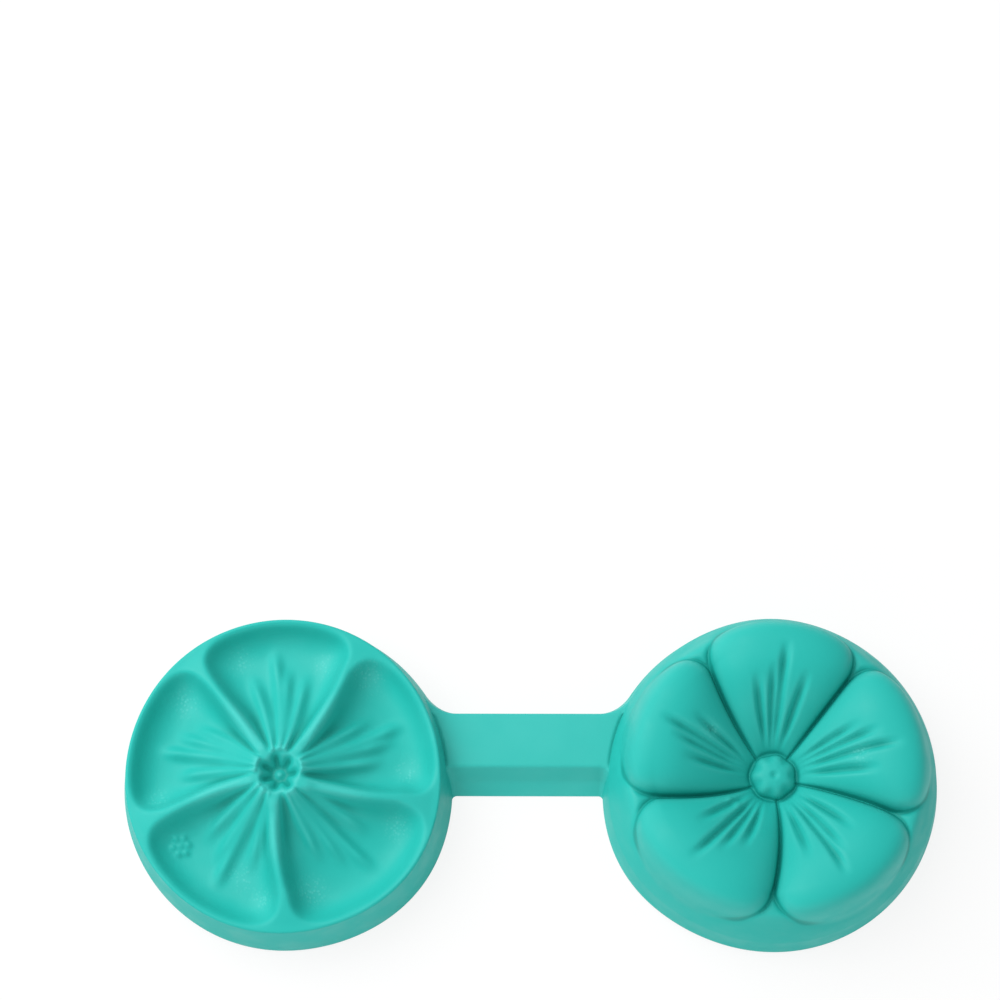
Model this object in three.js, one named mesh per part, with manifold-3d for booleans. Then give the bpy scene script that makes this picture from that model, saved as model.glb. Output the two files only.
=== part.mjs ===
// Two-sided silicone flower mold: a cavity half and a petal half joined by a flexible strap that
// folds the petals down into the cavity. Millimetres, +Z up, origin on the table midway between
// the halves, +X from the cavity half towards the petal half.

import * as THREE from 'three';
import Module from 'manifold-3d';

const wasm = await Module();
wasm.setup();

// Driving dimensions of the two halves
const DISC_DIAMETER = 58.6;
const WALL_LEAN = 0.17;
const FOOT_ROUND = 0.6;
const RIM_HEIGHT = 11;
const LIP_ROUND = 0.5;
const LIP_WIDTH = 1;
const FONDANT_GAP = 1.2;

// Driving dimensions of the flower
const CREASES = [
  { angle: 51, bend: 0 },
  { angle: 121.5, bend: 10 },
  { angle: 192, bend: 12 },
  { angle: 266.8, bend: 11 },
  { angle: 340, bend: 4 },
];
const BEND_RADIUS = 21;
const PETAL_SWELL = 5.8;
const SWELL_LENGTH = 15;
const TIP_LENGTH = 13;
const TIP_ROUND = 3;
const FUNNEL_DEPTH = 8;
const FUNNEL_FLOOR = 2.2;
const VEIN_DEPTH = 0.7;
const VEIN_HALF_ANGLE = 2.4;
const VEINS = [
  { angle: 15, reach: 16.7 },
  { angle: 3, reach: 19.3 },
  { angle: -2.5, reach: 22.3 },
  { angle: -16.6, reach: 17.3 },
];

// Driving dimensions of the knob in the middle of the petals
const KNOB_DIAMETER = 8;
const KNOB_RISE = 2.6;
const KNOB_GAP = 0.3;
const KNOB_DENTS = 7;
const DENT_DEPTH = 0.45;
const DIMPLE_DIAMETER = 2;

// Driving dimensions of the strap
const STRAP_LENGTH = 26.7;
const STRAP_THICKNESS = 5.8;
const STRAP_TOP_WIDTH = 9.4;
const STRAP_TOP_OFFSET = 7;
const STRAP_BACK_LEAN = 1.2;
const STRAP_FRONT_LEAN = 2;
const SKIRT_RUN = 2.4;
const SKIRT_HEIGHT = 2.2;
const EDGE_BREAK = 0.4;
const ROOT_DEPTH = 1.2;
const CAVITY_FILLETS = { back: 4.6, front: 0.8 };
const PETAL_FILLETS = { back: 4.2, front: 1.7 };
const FOLD_LINES = 6;
const LINK_GAP = 0.3;

// Shape of the curves
const SIDE_POWER = 2.8;
const TIP_POWER = 5;
const PILLOW_POWER = 0.5;
const SWELL_POWER = 0.8;
const KNOB_POWER = 2.6;
const DENT_REACH = 0.68;
const DENT_SPREAD = 0.22;

// Fineness of the facets
const FLANK_STEPS = 5;
const FLANK_CROWDING = 2;
const FLANK_SHARE = 0.55;
const RADIAL_STEPS = 14;
const RADIAL_CROWDING = 1.4;
const OUTLINE_STEP = 0.12;
const OUTLINE_END = 0.95;
const LIP_STEPS = 3;
const KNOB_STEPS = 6;
const KNOB_SEGMENTS = 42;
const PLATE_SEGMENTS = 96;
const FILLET_STEPS = 5;

// Sizes that follow
const DISC_RADIUS = DISC_DIAMETER / 2;
const CENTRE_X = (DISC_DIAMETER + STRAP_LENGTH) / 2;
const PLATE_TOP = STRAP_THICKNESS;
const FUNNEL_BOTTOM = PLATE_TOP + FUNNEL_FLOOR;
const EDGE_HEIGHT = FUNNEL_BOTTOM + FUNNEL_DEPTH;
const EDGE_RADIUS = wallRadius(EDGE_HEIGHT);
const TIP_RADIUS = wallRadius(RIM_HEIGHT) - LIP_WIDTH;
const KNOB_RADIUS = KNOB_DIAMETER / 2;
const FLOWER_START = KNOB_RADIUS + KNOB_GAP;
const FUNNEL_SLOPE = FUNNEL_DEPTH / (EDGE_RADIUS - FLOWER_START);
const PETAL_COUNT = CREASES.length;
const HALF_PETAL = 180 / PETAL_COUNT;
const PARTING_SUM = RIM_HEIGHT + EDGE_HEIGHT;
const CLOSED_HEIGHT = PARTING_SUM + FONDANT_GAP;
const FOLD_RISE = CLOSED_HEIGHT - 2 * STRAP_THICKNESS;
const FOLD_PITCH = FOLD_RISE * Math.tan(Math.PI / (2 * FOLD_LINES));
const STRAP_TOP_FRONT = STRAP_TOP_OFFSET - STRAP_TOP_WIDTH / 2;
const STRAP_TOP_BACK = STRAP_TOP_OFFSET + STRAP_TOP_WIDTH / 2;

const silicone = { color: 0x38bcb2, roughness: 0.55, metalness: 0 };

// Radius of the leaning outer wall of either half at height z
function wallRadius(z) {
  return DISC_RADIUS - WALL_LEAN * z;
}

function clamp01(x) {
  return Math.min(1, Math.max(0, x));
}

function smoothstep(x) {
  const t = clamp01(x);
  return t * t * (3 - 2 * t);
}

function polar(radius, degrees, z) {
  const a = THREE.MathUtils.degToRad(degrees);
  return new THREE.Vector3(radius * Math.cos(a), radius * Math.sin(a), z);
}

// Direction at radius r of the crease before petal k, which turns by its bend on the way to the knob
function creaseAngle(k, r) {
  const crease = CREASES[k % PETAL_COUNT];
  const share = clamp01((BEND_RADIUS - r) / (BEND_RADIUS - FLOWER_START));
  return crease.angle + crease.bend * share + 360 * Math.floor(k / PETAL_COUNT);
}

// Direction at radius r of the place a across petal k. Across every petal, a goes from -HALF_PETAL
// at the crease before it to HALF_PETAL at the crease after it.
function direction(k, r, a) {
  return THREE.MathUtils.mapLinear(a, -HALF_PETAL, HALF_PETAL, creaseAngle(k, r), creaseAngle(k + 1, r));
}

// Depth of the vein grooves at radius r and place a across a petal
function veinDepth(r, a) {
  let depth = 0;
  for (const vein of VEINS) {
    const across = 1 - smoothstep(Math.abs(a - vein.angle) / VEIN_HALF_ANGLE);
    const along = 1 - smoothstep((2 * r) / vein.reach - 1);
    depth = Math.max(depth, VEIN_DEPTH * across * along);
  }
  return depth;
}

// Radius at which a petal's rounded outline ends, at place a across it. A crease goes as far out as
// the flanks beside it, so that no facet turns over where the crease bends.
function petalReach(a) {
  const side = Math.min(OUTLINE_END, (Math.abs(a) / HALF_PETAL) ** SIDE_POWER);
  return TIP_RADIUS - TIP_LENGTH * (1 - (1 - side) ** (1 / TIP_POWER));
}

// Height of the raised flower at radius r and place a across a petal: a funnel that ends at the
// wall, with one pillow on it for each petal, and the veins pressed into the pillow
function flowerTop(r, a) {
  const funnel = EDGE_HEIGHT - FUNNEL_SLOPE * (EDGE_RADIUS - r);
  const wall = (DISC_RADIUS - r) / WALL_LEAN;
  const side = clamp01(Math.abs(a) / HALF_PETAL) ** SIDE_POWER;
  const tip = clamp01((r - TIP_RADIUS) / TIP_LENGTH + 1) ** TIP_POWER;
  const pillow = Math.max(0, 1 - side - tip) ** PILLOW_POWER;
  const ground = (funnel + wall - Math.hypot(funnel - wall, TIP_ROUND * pillow)) / 2;
  const rise = Math.sin((Math.PI / 2) * clamp01((r - FLOWER_START) / SWELL_LENGTH)) ** SWELL_POWER;
  return ground + pillow * (PETAL_SWELL * rise - veinDepth(r, a));
}

// Height of the domed knob, with a ring of dents round it and a dimple on top
function knobTop(r, degrees) {
  const dome = KNOB_RISE * Math.max(0, 1 - (r / KNOB_RADIUS) ** KNOB_POWER) ** PILLOW_POWER;
  const ring = 1 - smoothstep(Math.abs(r / KNOB_RADIUS - DENT_REACH) / DENT_SPREAD);
  const beat = (1 + Math.cos(KNOB_DENTS * THREE.MathUtils.degToRad(degrees))) / 2;
  const dimple = 1 - smoothstep((2 * r) / DIMPLE_DIAMETER);
  return FUNNEL_BOTTOM + dome - DENT_DEPTH * Math.max(ring * beat, dimple);
}

// Places across a petal at which its surface is cut into facets: close together down the steep
// flanks, with three at each vein
function petalAngles() {
  const veins = VEINS.flatMap((v) => [v.angle - VEIN_HALF_ANGLE, v.angle, v.angle + VEIN_HALF_ANGLE]);
  const flanks = [];
  for (let i = 0; i <= FLANK_STEPS; i += 1) {
    const share = 1 - (1 - FLANK_SHARE) * (1 - i / FLANK_STEPS) ** FLANK_CROWDING;
    flanks.push(-HALF_PETAL * share, HALF_PETAL * share);
  }
  const clear = (angle) => veins.every((v) => Math.abs(v - angle) > VEIN_HALF_ANGLE / 2);
  const inner = veins.filter((v, i) => veins.findIndex((w) => Math.abs(w - v) < VEIN_HALF_ANGLE / 2) === i);
  return [...flanks.filter(clear), ...inner].sort((p, q) => p - q);
}

// Radii at which the flower's surface is cut into facets at place a across a petal: out to the
// petal's outline, on to the edge of the plate, and down the wall past the tips
function flowerRadii(a) {
  const reach = petalReach(a);
  const radii = [];
  for (let i = 0; i <= RADIAL_STEPS; i += 1) {
    const share = 1 - (1 - i / RADIAL_STEPS) ** RADIAL_CROWDING;
    radii.push(THREE.MathUtils.lerp(FLOWER_START, reach, share));
  }
  const past = [reach, TIP_RADIUS].map((r) => Math.max(EDGE_RADIUS, r + OUTLINE_STEP));
  radii.push(past[0], past[1] + OUTLINE_STEP);
  return radii;
}

// Closed skin over a row of rings. A ring of one point is a pole. Any other end ring is closed by
// a flat face, a fan about the ring's last point, from which the whole outline is in view.
function loft(rings) {
  const points = rings.flat();
  const starts = [];
  let total = 0;
  for (const each of rings) {
    starts.push(total);
    total += each.length;
  }
  const faces = [];
  for (let k = 0; k + 1 < rings.length; k += 1) {
    const count = Math.max(rings[k].length, rings[k + 1].length);
    for (let i = 0; i < count; i += 1) {
      const next = (i + 1) % count;
      const [a, b] = [i, next].map((n) => starts[k] + (n % rings[k].length));
      const [d, c] = [i, next].map((n) => starts[k + 1] + (n % rings[k + 1].length));
      if (a !== b) faces.push([a, b, c]);
      if (c !== d) faces.push([a, c, d]);
    }
  }
  const last = starts[rings.length - 1];
  for (let i = 0; i + 2 < rings[0].length; i += 1) faces.push([rings[0].length - 1, i + 1, i]);
  for (let i = 0; i + 2 < total - last; i += 1) faces.push([total - 1, last + i, last + i + 1]);
  const geometry = new THREE.BufferGeometry().setFromPoints(points);
  geometry.setIndex(faces.flat());
  return geometry;
}

function toSolid(geometry) {
  const vertProperties = Float32Array.from(geometry.getAttribute('position').array);
  const triVerts = Uint32Array.from(geometry.getIndex().array);
  return new wasm.Manifold(new wasm.Mesh({ numProp: 3, vertProperties, triVerts }));
}

function join(first, second) {
  const mesh = toSolid(first).add(toSolid(second)).getMesh();
  const geometry = new THREE.BufferGeometry();
  geometry.setAttribute('position', new THREE.BufferAttribute(mesh.vertProperties, 3));
  geometry.setIndex(new THREE.BufferAttribute(mesh.triVerts, 1));
  return geometry;
}

function makeMesh(name, geometry) {
  const mesh = new THREE.Mesh(geometry, new THREE.MeshStandardMaterial(silicone));
  mesh.name = name;
  return mesh;
}

// Front and back edges of the strap at height z: a steep flank behind, and in front a steep flank
// that spreads into a skirt near the table
function strapEdges(z) {
  const flank = (z - SKIRT_HEIGHT) / (STRAP_THICKNESS - SKIRT_HEIGHT);
  const skirt = clamp01(1 - z / SKIRT_HEIGHT);
  const front = STRAP_TOP_FRONT - STRAP_FRONT_LEAN * clamp01(1 - flank) - SKIRT_RUN * skirt;
  const back = STRAP_TOP_BACK + STRAP_BACK_LEAN * (1 - z / STRAP_THICKNESS);
  return { front, back };
}

// Levels of the strap's section, each with how far its edges are broken there
function strapLevels() {
  return [
    { z: 0, inset: 0 },
    { z: SKIRT_HEIGHT, inset: 0 },
    { z: STRAP_THICKNESS - EDGE_BREAK, inset: 0 },
    { z: STRAP_THICKNESS, inset: EDGE_BREAK },
  ];
}

// One link of the strap: its section drawn across the strap and extruded along it
function strapLink(length) {
  const levels = strapLevels();
  const front = levels.map(({ z, inset }) => new THREE.Vector2(strapEdges(z).front + inset, z));
  const back = levels.map(({ z, inset }) => new THREE.Vector2(strapEdges(z).back - inset, z));
  const section = new THREE.Shape([...back, ...front.reverse()]);
  const geometry = new THREE.ExtrudeGeometry(section, { depth: length, bevelEnabled: false });
  return geometry.rotateX(Math.PI / 2).rotateZ(Math.PI / 2).translate(-length / 2, 0, 0);
}

// Outline at one level of the strap's root, from inside the disc's wall to the first fold line,
// with a fillet on each side where it leaves the wall. side is -1 at the cavity half, 1 at the other.
function rootOutline({ z, inset }, side, fillets) {
  const radius = wallRadius(z) - inset;
  const edges = strapEdges(z);
  const end = CENTRE_X - ((FOLD_LINES - 1) * FOLD_PITCH + LINK_GAP) / 2;
  const onWall = (y) => Math.sqrt(radius ** 2 - y ** 2);
  const corner = (y, fillet) => new THREE.QuadraticBezierCurve(
    new THREE.Vector2(onWall(y + fillet), y + fillet),
    new THREE.Vector2(onWall(y), y),
    new THREE.Vector2(Math.min(onWall(y) + Math.abs(fillet), end), y),
  ).getPoints(FILLET_STEPS);
  const back = corner(edges.back - inset, fillets.back);
  const front = corner(edges.front + inset, -fillets.front);
  const inside = [front[0], back[0]].map((p) => p.clone().setLength(radius - ROOT_DEPTH));
  const middle = inside[0].clone().add(inside[1]).setLength(radius - ROOT_DEPTH);
  const outline = [
    inside[0],
    ...front,
    new THREE.Vector2(end, edges.front + inset),
    new THREE.Vector2(end, edges.back - inset),
    ...back.reverse(),
    inside[1],
    middle,
  ];
  const placed = outline.map((p) => new THREE.Vector3(side * (CENTRE_X - p.x), p.y, z));
  return side > 0 ? [...placed.slice(0, -1).reverse(), placed.at(-1)] : placed;
}

function strapRoot(side, fillets) {
  const rings = strapLevels().map((level) => rootOutline(level, side, fillets));
  return loft(rings);
}

function ring(angles, radius, height) {
  return angles.map((a) => polar(radius, a, typeof height === 'function' ? height(radius, a) : height));
}

function evenAngles(count) {
  return Array.from({ length: count }, (_, i) => (i * 360) / count);
}

// Foot and wall of a half up to height z
function wallRings(angles, z) {
  return [
    [new THREE.Vector3()],
    ring(angles, DISC_RADIUS - FOOT_ROUND, 0),
    ring(angles, wallRadius(FOOT_ROUND), FOOT_ROUND),
    ring(angles, wallRadius(z), z),
  ];
}

// The cavity half: the flower turned inside out and mirrored, sunk in a cup with a rounded lip
function cavityCup() {
  const places = [];
  for (let k = PETAL_COUNT - 1; k >= 0; k -= 1) {
    for (const a of petalAngles().slice(1).reverse()) places.push({ k, a });
  }
  const mirrored = (r) => places.map(({ k, a }) => 180 - direction(k, r, a));
  const angles = mirrored(TIP_RADIUS);
  const cavity = (r, a) => {
    const turned = PARTING_SUM - flowerTop(r, a);
    return r > EDGE_RADIUS ? Math.min(RIM_HEIGHT, turned) : turned;
  };
  const socket = (r, degrees) => PARTING_SUM - knobTop(r, 180 - degrees);
  const rings = wallRings(angles, RIM_HEIGHT - LIP_ROUND);
  for (let i = 1; i <= LIP_STEPS; i += 1) {
    const turn = ((Math.PI / 2) * i) / LIP_STEPS;
    const inward = LIP_ROUND * (1 - Math.cos(turn));
    const z = RIM_HEIGHT - LIP_ROUND * (1 - Math.sin(turn));
    rings.push(ring(angles, wallRadius(RIM_HEIGHT - LIP_ROUND) - inward, z));
  }
  const radii = places.map(({ a }) => flowerRadii(a));
  for (let i = radii[0].length - 1; i >= 0; i -= 1) {
    rings.push(places.map(({ k, a }, n) => {
      const r = radii[n][i];
      return polar(r, 180 - direction(k, r, a), cavity(r, a));
    }));
  }
  for (let i = KNOB_STEPS; i > 0; i -= 1) {
    rings.push(ring(mirrored(KNOB_RADIUS), (KNOB_RADIUS * i) / KNOB_STEPS, socket));
  }
  rings.push([new THREE.Vector3(0, 0, socket(0, 0))]);
  const cup = loft(rings).translate(-CENTRE_X, 0, 0);
  return makeMesh('cavity_cup', join(cup, strapRoot(-1, CAVITY_FILLETS)));
}

// The flat plate under the petals, with the strap's root on it
function petalPlate() {
  const angles = evenAngles(PLATE_SEGMENTS);
  const rings = [...wallRings(angles, PLATE_TOP), [new THREE.Vector3(0, 0, PLATE_TOP)]];
  const plate = loft(rings).translate(CENTRE_X, 0, 0);
  return makeMesh('petal_plate', join(plate, strapRoot(1, PETAL_FILLETS)));
}

// One petal: a wedge of the raised flower standing on the plate, swept through its angles
function petal(index) {
  const rings = petalAngles().map((a) => {
    const at = (r, z) => polar(r, direction(index, r, a), z);
    const top = flowerRadii(a).map((r) => at(r, flowerTop(r, a)));
    return [...top, at(wallRadius(PLATE_TOP), PLATE_TOP), at(FLOWER_START, PLATE_TOP)];
  });
  const mesh = makeMesh(`petal_${index + 1}`, loft(rings));
  mesh.position.x = CENTRE_X;
  return mesh;
}

function centreKnob() {
  const angles = evenAngles(KNOB_SEGMENTS);
  const rings = [[new THREE.Vector3(0, 0, PLATE_TOP)], ring(angles, KNOB_RADIUS, PLATE_TOP)];
  for (let i = KNOB_STEPS; i > 0; i -= 1) {
    rings.push(ring(angles, (KNOB_RADIUS * i) / KNOB_STEPS, knobTop));
  }
  rings.push([new THREE.Vector3(0, 0, knobTop(0, 0))]);
  const mesh = makeMesh('centre_knob', loft(rings));
  mesh.position.x = CENTRE_X;
  return mesh;
}

function strapLinks() {
  const links = new THREE.Group();
  for (let i = 1; i < FOLD_LINES; i += 1) {
    const link = makeMesh(`strap_link_${i}`, strapLink(FOLD_PITCH - LINK_GAP));
    link.position.x = (i - FOLD_LINES / 2) * FOLD_PITCH;
    links.add(link);
  }
  return links;
}

const mold = new THREE.Group();
mold.add(cavityCup(), strapLinks(), petalPlate(), centreKnob());
for (let i = 0; i < PETAL_COUNT; i += 1) mold.add(petal(i));

export default mold;
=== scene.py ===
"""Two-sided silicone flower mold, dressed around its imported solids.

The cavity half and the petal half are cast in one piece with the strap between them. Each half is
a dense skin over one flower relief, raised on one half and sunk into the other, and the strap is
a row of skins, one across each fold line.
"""

import logging
import math
from dataclasses import dataclass, field
from enum import Enum

import bpy
import numpy as np
from mathutils import Matrix, Quaternion, Vector


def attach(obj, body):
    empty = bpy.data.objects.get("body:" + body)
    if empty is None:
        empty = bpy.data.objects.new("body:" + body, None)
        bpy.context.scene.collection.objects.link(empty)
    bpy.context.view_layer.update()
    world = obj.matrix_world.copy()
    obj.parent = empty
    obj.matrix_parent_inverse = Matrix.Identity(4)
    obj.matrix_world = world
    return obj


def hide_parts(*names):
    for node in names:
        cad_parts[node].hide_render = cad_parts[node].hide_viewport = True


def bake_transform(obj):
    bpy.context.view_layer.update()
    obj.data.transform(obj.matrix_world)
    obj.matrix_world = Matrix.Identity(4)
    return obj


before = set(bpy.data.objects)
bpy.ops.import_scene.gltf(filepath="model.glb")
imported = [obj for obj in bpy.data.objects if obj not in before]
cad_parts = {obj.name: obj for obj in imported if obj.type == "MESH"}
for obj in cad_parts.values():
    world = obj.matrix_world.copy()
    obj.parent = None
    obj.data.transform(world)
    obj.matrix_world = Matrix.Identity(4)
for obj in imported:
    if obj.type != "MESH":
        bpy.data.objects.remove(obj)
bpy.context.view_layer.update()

MM = 0.001
HALF_PLACE = 42.65
END_ANGLE = math.radians(50.0)
BLUR_SIGMAS = 3.0
WHITE = (1.0, 1.0, 1.0, 1.0)
LOG = logging.getLogger("flower_mold")

Array = np.ndarray
Point = tuple[float, float, float]
Span = tuple[float, float]
Face = list[int]
Piece = bpy.types.Object
Socket = bpy.types.NodeSocket


def smoothstep(x: Array) -> Array:
    """Smooth rise from 0 to 1 while x goes from 0 to 1."""
    t = np.clip(x, 0.0, 1.0)
    return t * t * (3.0 - 2.0 * t)


def signed_turn(degrees: Array) -> Array:
    """The same turn between -180 and 180 degrees."""
    return np.mod(degrees + 180.0, 360.0) - 180.0


def soft_min(a: Array, b: Array, blend: Array | float) -> Array:
    """The lower of two heights, rounded over the size blend where they meet."""
    return (a + b - np.hypot(a - b, blend)) / 2.0


def soften(values: Array, sigma: float) -> Array:
    """Blurs a square grid of heights.

    Args:
        values: Heights on the grid.
        sigma: Reach of the blur, in cells.

    Returns:
        The blurred heights.
    """
    half = math.ceil(BLUR_SIGMAS * sigma)
    taps = np.exp(-0.5 * (np.arange(-half, half + 1) / sigma) ** 2)
    taps /= taps.sum()
    count = len(values)
    for _ in range(2):
        padded = np.pad(values, ((half, half), (0, 0)), mode="edge")
        values = sum(tap * padded[i : i + count] for i, tap in enumerate(taps)).T
    return values


class Turn(Enum):
    """Which way the flower faces on a half."""

    RAISED = 1
    SUNK = -1


@dataclass(frozen=True)
class Crease:
    """The line between two petals.

    Attributes:
        angle: Direction of its outer end from the knob, in degrees.
        bend: How far it has turned by the time it meets the knob, in degrees.
    """

    angle: float
    bend: float


@dataclass(frozen=True)
class Vein:
    """One groove pressed into a petal.

    Attributes:
        angle: Direction of its outer end from the knob, in degrees.
        reach: Distance of its outer end from the knob, in millimetres.
        bend: How far it has turned by the time it meets the knob, in degrees.
        depth: Depth of the groove, in millimetres.
    """

    angle: float
    reach: float
    bend: float = 4.0
    depth: float = 0.62


@dataclass(frozen=True)
class Spot:
    """A small place where the casting isn't even.

    Attributes:
        x: Place along the mold from the middle of the half, in millimetres.
        y: Place across the mold from the middle of the half, in millimetres.
        reach: Size of the spot, in millimetres.
        amount: Height of a lump in millimetres, below 0 for a dent, or how full of bubbles a patch is.
    """

    x: float
    y: float
    reach: float
    amount: float

    def at(self, x: Array, y: Array) -> Array:
        """Amount of the spot at places x, y."""
        return self.amount * np.exp(-((x - self.x) ** 2 + (y - self.y) ** 2) / self.reach**2)


@dataclass(frozen=True)
class Bulge:
    """A side on which a half is out of round.

    Attributes:
        direction: Direction from the middle of the half, in degrees.
        spread: How far it spreads to both sides, in degrees.
        amount: How far the outline goes out, in millimetres, below 0 where it goes in.
    """

    direction: float
    spread: float
    amount: float

    def at(self, degrees: Array) -> Array:
        """How far the outline goes out in each direction."""
        return self.amount * np.exp(-((signed_turn(degrees - self.direction) / self.spread) ** 2))


CREASES = (
    Crease(51.0, 0.0),
    Crease(121.5, 10.0),
    Crease(192.0, 12.0),
    Crease(266.8, 11.0),
    Crease(340.0, 4.0),
)

VEINS = (
    Vein(100.3, 17.6), Vein(89.8, 18.8), Vein(84.6, 22.4), Vein(70.6, 18.2),
    Vein(28.0, 17.0), Vein(20.6, 19.4), Vein(11.8, 22.2), Vein(359.2, 18.0),
    Vein(319.6, 16.8), Vein(306.0, 18.4), Vein(300.8, 22.0), Vein(286.6, 16.8),
    Vein(212.0, 17.2), Vein(225.6, 22.2), Vein(233.2, 18.2), Vein(243.6, 15.6),
    Vein(145.2, 17.6), Vein(155.8, 22.4), Vein(161.0, 19.6), Vein(170.8, 16.8),
)


@dataclass(frozen=True)
class FlowerRelief:
    """Height of the five-petal flower as the petal half has it, in millimetres above the table.

    Places and directions are taken from the middle of the half.
    """

    disc_radius: float = 29.3
    wall_lean: float = 0.17
    flare_lean: float = 0.32
    rim_height: float = 11.0
    lip_width: float = 0.5
    plate_top: float = 5.8
    funnel_floor: float = 2.2
    funnel_depth: float = 8.0
    knob_radius: float = 3.95
    knob_gap: float = 0.3
    knob_rise: float = 2.6
    knob_power: float = 2.6
    knob_dents: int = 7
    dent_depth: float = 0.25
    dent_reach: float = 0.85
    dent_spread: float = 0.3
    dimple_radius: float = 1.0
    dimple_depth: float = 0.4
    petal_swell: float = 5.8
    swell_length: float = 15.0
    swell_power: float = 0.8
    side_power: float = 2.7
    tip_power: float = 4.4
    tip_length: float = 13.0
    tip_round: float = 3.0
    tip_fall: float = 2.4
    fall_from: float = 16.0
    pillow_power: float = 0.5
    edge_round: float = 4.0
    edge_fade: float = 7.0
    crease_cut: float = 0.1
    crease_reach: float = 0.3
    crease_end: float = 24.0
    crease_fade: float = 3.0
    outline_cut: float = 0.5
    outline_reach: float = 0.14
    scallop: float = 0.03
    ridge_half_width: float = 0.0
    least_half: float = 0.001
    vein_half_width: float = 1.2
    vein_share: float = 0.11
    vein_end: float = 5.0
    vein_start: float = 5.5
    vein_gain: float = 1.8
    vein_extra: float = 0.0
    crown_gain: float = 0.0
    crown_radius: float = 5.2
    crown_spread: float = 1.6
    bend_from: float = 21.0

    def wall_radius(self, z: Array | float) -> Array | float:
        """Radius of the leaning outer wall at height z."""
        return self.disc_radius - self.wall_lean * z

    @property
    def flower_start(self) -> float:
        """Radius at which the petals begin beside the knob."""
        return self.knob_radius + self.knob_gap

    @property
    def funnel_bottom(self) -> float:
        """Height of the flower's floor beside the knob."""
        return self.plate_top + self.funnel_floor

    @property
    def edge_height(self) -> float:
        """Height at which the flower's ground meets the wall."""
        return self.funnel_bottom + self.funnel_depth

    @property
    def tip_radius(self) -> float:
        """Reach of the petals' tips."""
        return self.wall_radius(self.rim_height) - self.lip_width

    @property
    def parting_sum(self) -> float:
        """Sum of the heights of the two halves at one place of the flower."""
        return self.rim_height + self.edge_height

    def bend_share(self, r: Array) -> Array:
        """Share of a line's bend that is taken at radius r: none at its outer end, all at the knob."""
        return np.clip((self.bend_from - r) / (self.bend_from - self.knob_radius), 0.0, 1.0)

    def line(self, mark: Crease | Vein, r: Array) -> Array:
        """Direction of a crease or a vein at radius r, in degrees."""
        return mark.angle + mark.bend * self.bend_share(r)

    def creases(self, r: Array, degrees: Array) -> tuple[Array, Array]:
        """Distance from the nearest crease, and half the distance between the creases on both sides.

        Args:
            r: Radii from the knob.
            degrees: Directions from the knob.

        Returns:
            The two distances at each point, in millimetres.
        """
        after = np.full(np.broadcast(r, degrees).shape, 360.0)
        before = after.copy()
        for crease in CREASES:
            turn = degrees - self.line(crease, r)
            after = np.minimum(after, np.mod(turn, 360.0))
            before = np.minimum(before, np.mod(-turn, 360.0))
        return np.radians(np.minimum(after, before)) * r, np.radians(after + before) / 2.0 * r

    def swell(self, off: Array, half: Array, r: Array) -> Array:
        """How far inside a petal's outline a place is: 0 on the outline and 1 in the middle.

        Args:
            off: Distances from the nearest crease.
            half: Half the distances between the creases on both sides.
            r: Radii from the knob.

        Returns:
            The swell at each place, below 0 outside the petal.
        """
        inside = np.maximum(0.0, off - self.ridge_half_width)
        side = 1.0 - inside / np.maximum(half - self.ridge_half_width, self.least_half)
        tip = np.clip((r - self.tip_radius) / self.tip_length + 1.0, 0.0, 1.0)
        return 1.0 - np.clip(side, 0.0, 1.0) ** self.side_power - tip**self.tip_power

    def veins(self, r: Array, degrees: Array) -> Array:
        """Depth of the grooves.

        Args:
            r: Radii from the knob.
            degrees: Directions from the knob.

        Returns:
            The depth at each point.
        """
        depth = np.zeros(np.broadcast(r, degrees).shape)
        for vein in VEINS:
            turn = signed_turn(degrees - self.line(vein, r))
            width = np.minimum(self.vein_half_width, self.vein_share * r)
            across = 1.0 - smoothstep(np.abs(np.radians(turn)) * r / width)
            along = smoothstep((vein.reach + self.vein_extra - r) / self.vein_end)
            along = along * smoothstep((r - self.flower_start) / self.vein_start)
            depth = np.maximum(depth, self.vein_gain * vein.depth * across * along)
        crown = self.crown_gain * np.exp(-(((r - self.crown_radius) / self.crown_spread) ** 2))
        return depth * (1.0 + crown)

    def knob(self, r: Array, degrees: Array) -> Array:
        """Height of the domed knob, with a ring of dents round it and a dimple on top.

        Args:
            r: Radii from the knob's middle.
            degrees: Directions from the knob's middle.

        Returns:
            The height at each point.
        """
        wave = np.cos(self.knob_dents * np.radians(degrees))
        share = np.minimum(1.0, r / self.knob_radius * (1.0 + self.scallop * (1.0 + wave)))
        dome = self.knob_rise * np.maximum(0.0, 1.0 - share**self.knob_power) ** self.pillow_power
        ring = 1.0 - smoothstep(np.abs(share - self.dent_reach) / self.dent_spread)
        beat = (1.0 + wave) / 2.0
        dimple = self.dimple_depth * (1.0 - smoothstep(r / self.dimple_radius))
        return self.funnel_bottom + dome - np.maximum(self.dent_depth * ring * beat, dimple)

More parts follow.
